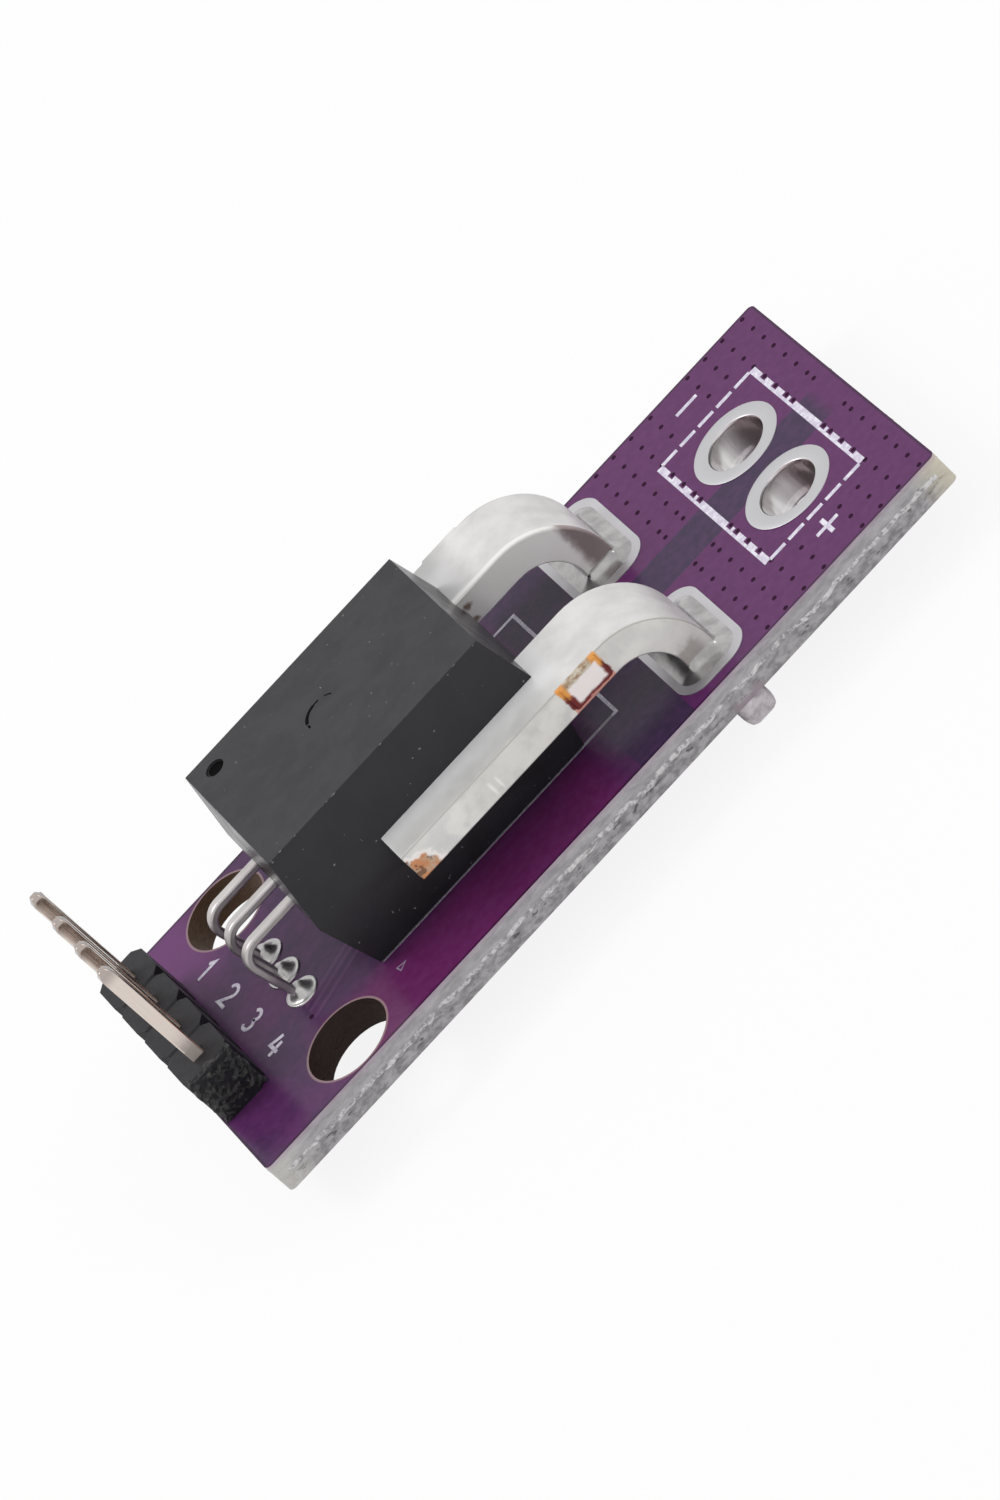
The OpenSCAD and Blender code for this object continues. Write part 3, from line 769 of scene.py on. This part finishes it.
def plain_look(name, color, rough, metal=0.0, level=0.5):
    """For small marks, and for pieces that hide inside others."""
    look = Look(name, color, rough, metal, level)
    cloud = look.noise(10.0, detail=3.0)
    darker = tuple(c * 0.75 for c in color[:3]) + (1.0,)
    look.set("Base Color", look.mix(cloud, darker, color))
    look.bump(cloud, 0.01)
    return look.material


MASK = board_look()
WEB = web_look()
MOULDING = moulding_look()
CONDUCTOR_TIN = conductor_look()
SIGNAL_TIN = tin_look("signal_tin", srgb(198, 194, 193), 0.36, 0.85)[0].material
SOLDER = solder_look(tone=192, rough=0.28)
LEG_SOLDER = solder_look("leg_solder", tone=172, rough=0.2, depth=0.004, grain=0.6)
TAIL_SOLDER = solder_look(
    "tail_solder", tone=168, rough=0.2, depth=0.13, metal=0.9, grain=1.5, spread=38, pink=6
)
PAD_TIN = pad_look()
BORE_TIN = bore_look()
HEADER_PLASTIC = header_look()
SNAPPED = snapped_look()
PIN_TIN = pin_look()
INK = ink_look()
CORE = plain_look("core_steel", srgb(120, 118, 116), 0.45, metal=1.0)
DIE = plain_look("silicon", srgb(70, 74, 86), 0.25, metal=0.6)
VIA = plain_look("via_mask", srgb(48, 12, 44), 0.7, level=0.1)
# dark sheets for painted shade in the marks on the crown
MOULD_SHADE = plain_look("mould_shade_sheet", srgb(9, 9, 10), 0.8, level=0.05)

# Shape helpers


def mesh_of(bm, name):
    """Turns a finished skin into a mesh whose faces all look outwards."""
    bmesh.ops.recalc_face_normals(bm, faces=bm.faces)
    mesh = bpy.data.meshes.new(name)
    bm.to_mesh(mesh)
    bm.free()
    return mesh


def piece(name, mesh, material, smooth=False):
    """A new piece of the object on its one rigid body."""
    thing = bpy.data.objects.new(name, mesh)
    bpy.context.collection.objects.link(thing)
    mesh.materials.clear()
    mesh.materials.append(material)
    for face in mesh.polygons:
        face.use_smooth = smooth
    if smooth:
        mesh.set_sharp_from_angle(angle=math.radians(50))
    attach(thing, "root")
    return thing


def dress(node, material):
    """Gives a CAD node its material."""
    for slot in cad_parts[node].material_slots:
        slot.material = material


def eased_copy(node, name, material, radius, segments=3, change=None):
    """Stands in for a CAD node with the same shape and softened edges."""
    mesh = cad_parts[node].data.copy()
    mesh.name = name
    work = bmesh.new()
    work.from_mesh(mesh)
    bmesh.ops.remove_doubles(work, verts=work.verts, dist=0.0005 * MM)
    bmesh.ops.dissolve_limit(
        work, angle_limit=math.radians(0.5), verts=work.verts, edges=work.edges, delimit=set()
    )
    if change:
        change(work)
    work.to_mesh(mesh)
    work.free()
    thing = piece(name, mesh, material, smooth=True)
    bevel = thing.modifiers.new("ease", "BEVEL")
    bevel.width = radius * MM
    bevel.segments = segments
    bevel.limit_method = "ANGLE"
    bevel.angle_limit = math.radians(28)
    bevel.miter_outer = "MITER_ARC"
    even = thing.modifiers.new("even", "WEIGHTED_NORMAL")
    even.keep_sharp = True
    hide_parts(node)


def arc(cx, cy, r, start, end, steps=10):
    turn = [math.radians(start + (end - start) * k / steps) for k in range(steps + 1)]
    return [(cx + r * math.cos(t), cy + r * math.sin(t)) for t in turn]


def outline(half_x, half_y, r, steps=20):
    """A rectangle with round corners; with r as large as the halves it is a circle."""
    points = []
    for corner, (sx, sy) in enumerate(((1, 1), (-1, 1), (-1, -1), (1, -1))):
        cx, cy = sx * (half_x - r), sy * (half_y - r)
        points += arc(cx, cy, r, 90 * corner, 90 * corner + 90, steps)
    return points


def join_loops(bm, low, high):
    """A band of faces between two loops of the same count."""
    count = len(low)
    for k in range(count):
        n = (k + 1) % count
        bm.faces.new((low[k], low[n], high[n], high[k]))


def loft(rings, cx, cy):
    """A closed skin through level rings: (half x, half y, corner radius, z)."""
    bm = bmesh.new()
    rows = [
        [bm.verts.new(at(cx + x, cy + y, z)) for x, y in outline(hx, hy, r)]
        for hx, hy, r, z in rings
    ]
    for low, high in zip(rows, rows[1:]):
        join_loops(bm, low, high)
    bm.faces.new(list(reversed(rows[0])))
    bm.faces.new(rows[-1])
    bmesh.ops.remove_doubles(bm, verts=bm.verts, dist=1e-8)
    return mesh_of(bm, "loft")


def lathe(profile, cx, cy, steps=96):
    """A closed skin turned from a loop of (radius, z)."""
    bm = bmesh.new()
    rows = []
    for k in range(steps):
        c, d = math.cos(2 * math.pi * k / steps), math.sin(2 * math.pi * k / steps)
        rows.append([bm.verts.new(at(cx + r * c, cy + r * d, z)) for r, z in profile])
    for k in range(steps):
        join_loops(bm, rows[k], rows[(k + 1) % steps])
    return mesh_of(bm, "lathe")


def ribbon(bm, points, width, closed=False, z=0.0, thick=0.02):
    """A flat raised line along points on the board, with mitred corners."""
    points = [Vector(p) for p in points]
    count = len(points)
    rows = []
    for k, p in enumerate(points):
        before = points[(k - 1) % count] if closed or k else p
        after = points[(k + 1) % count] if closed or k < count - 1 else p
        a = (p - before).normalized() if (p - before).length else (after - p).normalized()
        b = (after - p).normalized() if (after - p).length else a
        way = (a + b).normalized()
        normal = Vector((-way.y, way.x))
        reach = width / 2 / max(0.35, normal.dot(Vector((-a.y, a.x))))
        rows.append([p + normal * reach, p - normal * reach])
    low = [[bm.verts.new(at(v.x, v.y, z)) for v in row] for row in rows]
    high = [[bm.verts.new(at(v.x, v.y, z + thick)) for v in row] for row in rows]
    steps = count if closed else count - 1
    for k in range(steps):
        n = (k + 1) % count
        bm.faces.new((high[k][1], high[n][1], high[n][0], high[k][0]))
        bm.faces.new((low[k][0], low[n][0], low[n][1], low[k][1]))
        bm.faces.new((low[k][1], low[n][1], high[n][1], high[k][1]))
        bm.faces.new((low[n][0], low[k][0], high[k][0], high[n][0]))
    if not closed:
        bm.faces.new((low[0][0], low[0][1], high[0][1], high[0][0]))
        bm.faces.new((low[-1][1], low[-1][0], high[-1][0], high[-1][1]))


# CAD nodes

CONDUCTOR_EASE, WIRE_EASE, SMALL_EASE = 0.07, 0.1, 0.06  # how far edges are rounded
TAIL_TIP, TAIL_CUT = 0.2, 0.6  # above the floor: tips lower than the first move to the second


def shorten_tails(work):
    """Leaves room for the solder that coats the tips of the conductor's tails."""
    for v in work.verts:
        if v.co.z < TAIL_TIP * MM:
            v.co.z = TAIL_CUT * MM


dress("circuit_board", MASK)
for side in SIDES:
    dress("conductor_pad_" + side, PAD_TIN)
for i in range(1, 4):
    eased_copy("signal_lead_%d" % i, "signal_wire_%d" % i, SIGNAL_TIN, WIRE_EASE)
for i in range(1, 5):
    dress("header_solder_%d" % i, SOLDER)
    eased_copy("header_pin_%d" % i, "pin_%d" % i, PIN_TIN, SMALL_EASE)
dress("magnetic_core", CORE)
dress("hall_die", DIE)
eased_copy("sensor_body", "sensor_moulding", MOULDING, SMALL_EASE, segments=2)
eased_copy(
    "primary_conductor", "conductor_bar", CONDUCTOR_TIN, CONDUCTOR_EASE,
    change=shorten_tails,
)
eased_copy("header_body", "header_plastic", HEADER_PLASTIC, SMALL_EASE, segments=2)

# Plated terminal holes

BORE_R, RING_R = 1.35, 2.12
WALL_T = 0.05
# how the bore opens at its top: (outward from the bore, down)
LIP = [(0.11, 0.0), (0.075, 0.014), (0.045, 0.04), (0.02, 0.09), (0.006, 0.16), (0.0, 0.26)]
# tin gathers in a low bead round the bottom of the bore: (inward from the bore, down)
BEAD = [
    (0.0, -0.3), (0.03, -0.14), (0.065, 0.0), (0.075, 0.08), (0.05, 0.125), (-0.02, 0.14),
    (-0.13, 0.11), (-0.28, 0.05),
]
RING = [(RING_R, 0.0), (RING_R, 0.03), (RING_R - 0.02, PAD_TOP)]  # the ring's outer edge, up
barrel = RING + [(BORE_R + out, PAD_TOP - down) for out, down in LIP]
barrel += [(BORE_R - inward, -BOARD_T - down) for inward, down in BEAD]
barrel += [(r, -BOARD_T - z) for r, z in reversed(RING)]
barrel += [(BORE_R + WALL_T, -BOARD_T), (BORE_R + WALL_T, 0.0)]
for side in SIDES:
    lo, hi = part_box("terminal_barrel_" + side)
    place = [((lo[i] + hi[i]) / 2 - BOARD_LO[i]) / MM for i in (0, 1)]
    eyelet = piece("terminal_eyelet_" + side, lathe(barrel, *place), BORE_TIN, True)
    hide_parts("terminal_barrel_" + side)

# Solder of the conductor's legs

CLIMB, CLIMB_STEPS = 0.62, 16  # how high the solder climbs a leg
FILLET_REACH, FILLET_CURVE = 0.72, 3.4  # how far it spreads at its foot, and how fast it thins
SKIN_T, SKIN_DIP = 0.05, 0.02  # its skin on the leg, and how far its top edge dips into the leg
TAIL_SWELL = [  # how far the solder stands out along the board, across it, and down
    (0.34, 0.3, 0.03), (0.22, 0.26, 0.1), (0.13, 0.26, 0.22), (0.08, 0.3, 0.42), (0.05, 0.38, 0.7),
    (0.04, 0.46, 0.96), (0.04, 0.54, 1.22), (0.04, 0.6, 1.46), (0.0, 0.6, 1.68), (-0.06, 0.54, 1.86),
    (-0.16, 0.42, 1.99), (-0.3, 0.22, 2.06), (-0.45, -0.1, 2.085),
]
TAIL_SHIFT = {"left": 0.2, "right": -0.2}  # the tails' solder leans outward
for side in SIDES:
    top_rings = []
    for k in range(CLIMB_STEPS + 1):
        v = k / CLIMB_STEPS
        out = FILLET_REACH * (1 - v) ** FILLET_CURVE + SKIN_T * (1 - v) - SKIN_DIP * v
        corner = CONDUCTOR_EASE + 0.1 + out
        top_rings.append((LEG_L + out, LEG_W + out, corner, PAD_TOP - 0.01 + v * CLIMB))
    low_rings = [
        (LEG_L + along, LEG_W - 0.1 + across, 0.36 + max(along, -0.1), -BOARD_T - down)
        for along, across, down in TAIL_SWELL
    ]
    joint = loft(top_rings, LEG_X, LEG_Y[side])
    joint = piece("conductor_joint_" + side, joint, LEG_SOLDER, True)
    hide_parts("conductor_solder_" + side)
    tail = loft(low_rings, LEG_X, LEG_Y[side] + TAIL_SHIFT[side])
    piece("conductor_tail_" + side, tail, TAIL_SOLDER, True)

# Solder of the signal leads

# (radius, out from the board's face)
JOINT_TOP = [
    (0.8, -0.02), (0.8, 0.03), (0.77, 0.065), (0.73, 0.07), (0.69, 0.06), (0.62, 0.075), (0.54, 0.12),
    (0.46, 0.2), (0.39, 0.3), (0.33, 0.4), (0.25, 0.48), (0.14, 0.52),
]
JOINT_UNDER = [
    (0.8, -0.02), (0.79, 0.05), (0.68, 0.14), (0.56, 0.28), (0.46, 0.46), (0.38, 0.66),
    (0.31, 0.86), (0.22, 1.02), (0.1, 1.1),
]
for i, y in enumerate(SIGNAL_Y):
    name = "signal_joint_%d" % (i + 1)
    top = loft([(r, r, r, z) for r, z in JOINT_TOP], SIGNAL_X, y)
    joint = piece(name, top, SOLDER, True)
    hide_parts("signal_solder_%d" % (i + 1))
    under = loft([(r, r, r, -BOARD_T - z) for r, z in JOINT_UNDER], SIGNAL_X, y)
    piece(name + "_under", under, SOLDER, True)

# Snapped web of the board

WEB_STEP = 0.22
WEB_MIDDLE = -0.74
WEB_REACH = (0.008, 0.09)  # how far the ridge always stands out, and how much more it may
WEB_INSET = 0.05
WEB_START = 0.55  # the board's corners are round, and the web stops before them


def snapped_web(bm, start, end, outward):
    """A ragged ridge along one edge of the board, where it was broken out of its panel."""
    start, end, outward = Vector(start), Vector(end), Vector(outward)
    count = int((end - start).length / WEB_STEP)
    rows = []
    drift = 0.0
    strength = 0.5
    for k in range(count + 1):
        place = start.lerp(end, k / count)
        drift = 0.8 * drift + random.uniform(-0.06, 0.06)
        mid = WEB_MIDDLE + drift
        # the ridge comes and goes along the edge
        strength = min(1.0, max(0.0, strength + random.uniform(-0.35, 0.35)))
        more = random.uniform(0.2, 1.0) * WEB_REACH[1] * strength
        reach = (WEB_REACH[0] + more) * (k not in (0, count))
        profile = [
            (-WEB_INSET, mid + 0.16),
            (reach * 0.5, mid + random.uniform(0.06, 0.12)),
            (reach, mid + random.uniform(0.0, 0.04)),
            (reach * random.uniform(0.2, 0.8), mid - random.uniform(0.06, 0.12)),
            (-WEB_INSET, mid - random.uniform(0.16, 0.22)),
        ]
        rows.append(
            [bm.verts.new(at(place.x + outward.x * o, place.y + outward.y * o, z)) for o, z in profile]
        )
    for low, high in zip(rows, rows[1:]):
        join_loops(bm, low, high)
    bm.faces.new(rows[0])
    bm.faces.new(list(reversed(rows[-1])))


web = bmesh.new()
snapped_web(web, (WEB_START, 0), (BOARD_L - WEB_START, 0), (0, -1))
snapped_web(web, (WEB_START, BOARD_W), (BOARD_L - WEB_START, BOARD_W), (0, 1))
snapped_web(web, (0, WEB_START), (0, BOARD_W - WEB_START), (-1, 0))
snapped_web(web, (BOARD_L, WEB_START), (BOARD_L, BOARD_W - WEB_START), (1, 0))
piece("board_snapped_web", mesh_of(web, "snapped_web"), WEB)

# Rough end of the header

SNAP_ROWS, SNAP_COLUMNS = 16, 14
SNAP_Y = 4.5
SNAP_W, SNAP_H, SNAP_T = 2.46, 2.52, 0.35
SNAP_LUMP = 0.32  # the highest lump, lower towards the rim
snap = bmesh.new()
front = []
for r in range(SNAP_ROWS + 1):
    row = []
    for c in range(SNAP_COLUMNS + 1):
        u, v = c / SNAP_COLUMNS, r / SNAP_ROWS
        rim = min(u, 1 - u, v, 1 - v)
        out = 0.03 + random.uniform(0.0, SNAP_LUMP) * min(1, 0.3 + rim * 5)
        x = HEADER_X + (u - 0.5) * (SNAP_W + random.uniform(-0.24, 0.04))
        z = 0.02 + v * (SNAP_H + random.uniform(-0.1, 0.05) * (v > 0.9))
        row.append(snap.verts.new(at(x, SNAP_Y - out, z)))
    front.append(row)
back = [[snap.verts.new(v.co + Vector((0, SNAP_T * MM, 0))) for v in row] for row in front]
for r in range(SNAP_ROWS):
    for c in range(SNAP_COLUMNS):
        for grid in (front, back):
            snap.faces.new((grid[r][c], grid[r][c + 1], grid[r + 1][c + 1], grid[r + 1][c]))
for r in range(SNAP_ROWS):
    for c in (0, SNAP_COLUMNS):
        snap.faces.new((front[r][c], front[r + 1][c], back[r + 1][c], back[r][c]))
for c in range(SNAP_COLUMNS):
    for r in (0, SNAP_ROWS):
        snap.faces.new((front[r][c], front[r][c + 1], back[r][c + 1], back[r][c]))
piece("header_snapped_end", mesh_of(snap, "snapped_end"), SNAPPED)

# Print on the board

STROKE = 0.17
DIGITS = {  # plain digits on a cell one high, drawn as single strokes
    1: [[(0.12, 0.76), (0.34, 1.0), (0.34, 0.0)]],
    2: [arc(0.3, 0.72, 0.28, 165, -35) + [(0.03, 0.0), (0.62, 0.0)]],
    3: [arc(0.28, 0.76, 0.24, 150, -80, 10), arc(0.28, 0.27, 0.27, 80, -150, 12)],
    4: [
        [(0.22, 1.0), (0.04, 0.34), (0.68, 0.34)],
        [(0.46, 0.0), (0.46, 0.25)],
        [(0.46, 0.43), (0.46, 0.78)],
    ],
}
DIGIT_H, DIGIT_X = 1.05, 3.15
SENSOR_LINE, MARK_LINE = 0.16, 0.06
SENSOR_PRINT = [(9.15, 4.18), (22.93, 4.18), (22.93, 14.72), (21.75, 14.72)]
CORNER_MARK = [(9.42, 2.75), (9.8, 2.98), (9.36, 3.08)]

ink = bmesh.new()
for k, y in enumerate(HEADER_PIN_Y):
    for stroke in DIGITS[k + 1]:
        # a digit's height runs along the board, and it reads from left to right
        ribbon(ink, [(DIGIT_X + v * DIGIT_H, y + (0.3 - u) * DIGIT_H) for u, v in stroke], STROKE)
ribbon(ink, SENSOR_PRINT, SENSOR_LINE)
ribbon(ink, CORNER_MARK, MARK_LINE, closed=True)

# outline of the terminal block: dashes on two sides, and lines cut by the vias on the others
TERMINAL_X, TERMINAL_Y = (31.5, 37.05), (3.5, 14.2)
DASH, DASH_PITCH, DASH_W = 0.88, 1.09, 0.22
for y in TERMINAL_Y:
    for k in range(5):
        start = TERMINAL_X[0] + 0.12 + k * DASH_PITCH
        ribbon(ink, [(start, y), (start + DASH, y)], DASH_W)

VIA_R, VIA_SIDES = 0.12, 12
VIA_HALF_ROW = [0.3, 1.38, 2.44, 3.42, 4.54, 5.64, 6.72, 7.36]
VIA_Y = VIA_HALF_ROW + [BOARD_W - y for y in reversed(VIA_HALF_ROW)]
VIA_OUTER_Y = VIA_HALF_ROW[:3] + [BOARD_W - y for y in VIA_HALF_ROW[:3]]
VIA_FULL_ROWS = (29.5, 30.56, 31.63, 37.16, 38.37)
VIA_OUTER_ROWS = (32.8, 35.05, 36.12)
LONE_VIA = (5.52, 5.26)
WHOLE_X, WHOLE_LINE = -0.12, 0.14  # a whole line along each row of vias
CUT_X, CUT_LINE, VIA_CLEAR = 0.05, 0.2, 0.22  # and a line that stops short of each via
for x in TERMINAL_X:
    ribbon(ink, [(x + WHOLE_X, TERMINAL_Y[0]), (x + WHOLE_X, TERMINAL_Y[1])], WHOLE_LINE)
    stops = [y for y in VIA_Y if TERMINAL_Y[0] + 0.3 < y < TERMINAL_Y[1] - 0.3]
    stops = [TERMINAL_Y[0] - 0.2] + stops + [TERMINAL_Y[1] + 0.2]
    for a, b in zip(stops, stops[1:]):
        ribbon(ink, [(x + CUT_X, a + VIA_CLEAR), (x + CUT_X, b - VIA_CLEAR)], CUT_LINE)

# polarity signs beside the terminals; the plus has a gap on each side of its bar
SIGN_X, PLUS_Y, MINUS_Y = 34.15, 2.15, 16.0
SIGN_HALF, SIGN_GAP, SIGN_W = 0.6, 0.11, 0.22
for y in (PLUS_Y, MINUS_Y):
    ribbon(ink, [(SIGN_X - SIGN_HALF, y), (SIGN_X + SIGN_HALF, y)], SIGN_W)
ribbon(ink, [(SIGN_X, PLUS_Y - SIGN_HALF), (SIGN_X, PLUS_Y - SIGN_GAP)], SIGN_W)
ribbon(ink, [(SIGN_X, PLUS_Y + SIGN_GAP), (SIGN_X, PLUS_Y + SIGN_HALF)], SIGN_W)
piece("silkscreen", mesh_of(ink, "silkscreen"), INK)

vias = bmesh.new()
spots = [(x, y) for x in VIA_FULL_ROWS for y in VIA_Y]
spots += [(x, y) for x in VIA_OUTER_ROWS for y in VIA_OUTER_Y]
spots.append(LONE_VIA)
turns = [2 * math.pi * k / VIA_SIDES for k in range(VIA_SIDES)]
for x, y in spots:
    rings = [
        [vias.verts.new(at(x + r * math.cos(t), y + r * math.sin(t), z)) for t in turns]
        for r, z in ((VIA_R, -0.01), (VIA_R, 0.006), (VIA_R * 0.4, 0.001))
    ]
    for low, high in zip(rings, rings[1:]):
        join_loops(vias, low, high)
    vias.faces.new(list(reversed(rings[0])))
    vias.faces.new(rings[-1])
piece("vias", mesh_of(vias, "vias"), VIA)

# Marks on the crown
# Painted shade on the crown: dark sheets in the ejector mark's edge and in the dimple

EJECTOR_X, EJECTOR_Y, EJECTOR_R = 14.9, 9.2, 0.87
EJECTOR_ARCS = ((34, 60, 0.07), (80, 100, 0.1), (100, 168, 0.17), (174, 190, 0.1))  # from, to, width
DIMPLE_X, DIMPLE_Y, DIMPLE_DEPTH = 10.19, 12.38, 0.12
marks = bmesh.new()
for start, end, width in EJECTOR_ARCS:
    ribbon(marks, arc(EJECTOR_X, EJECTOR_Y, EJECTOR_R, start, end), width, z=CROWN, thick=0.003)
dimple_floor = arc(DIMPLE_X, DIMPLE_Y, 0.21, 0, 345, 23)
ribbon(marks, dimple_floor, 0.4, closed=True, z=CROWN - DIMPLE_DEPTH, thick=0.004)
piece("mould_shade_sheets", mesh_of(marks, "mould_shade_sheets"), MOULD_SHADE)
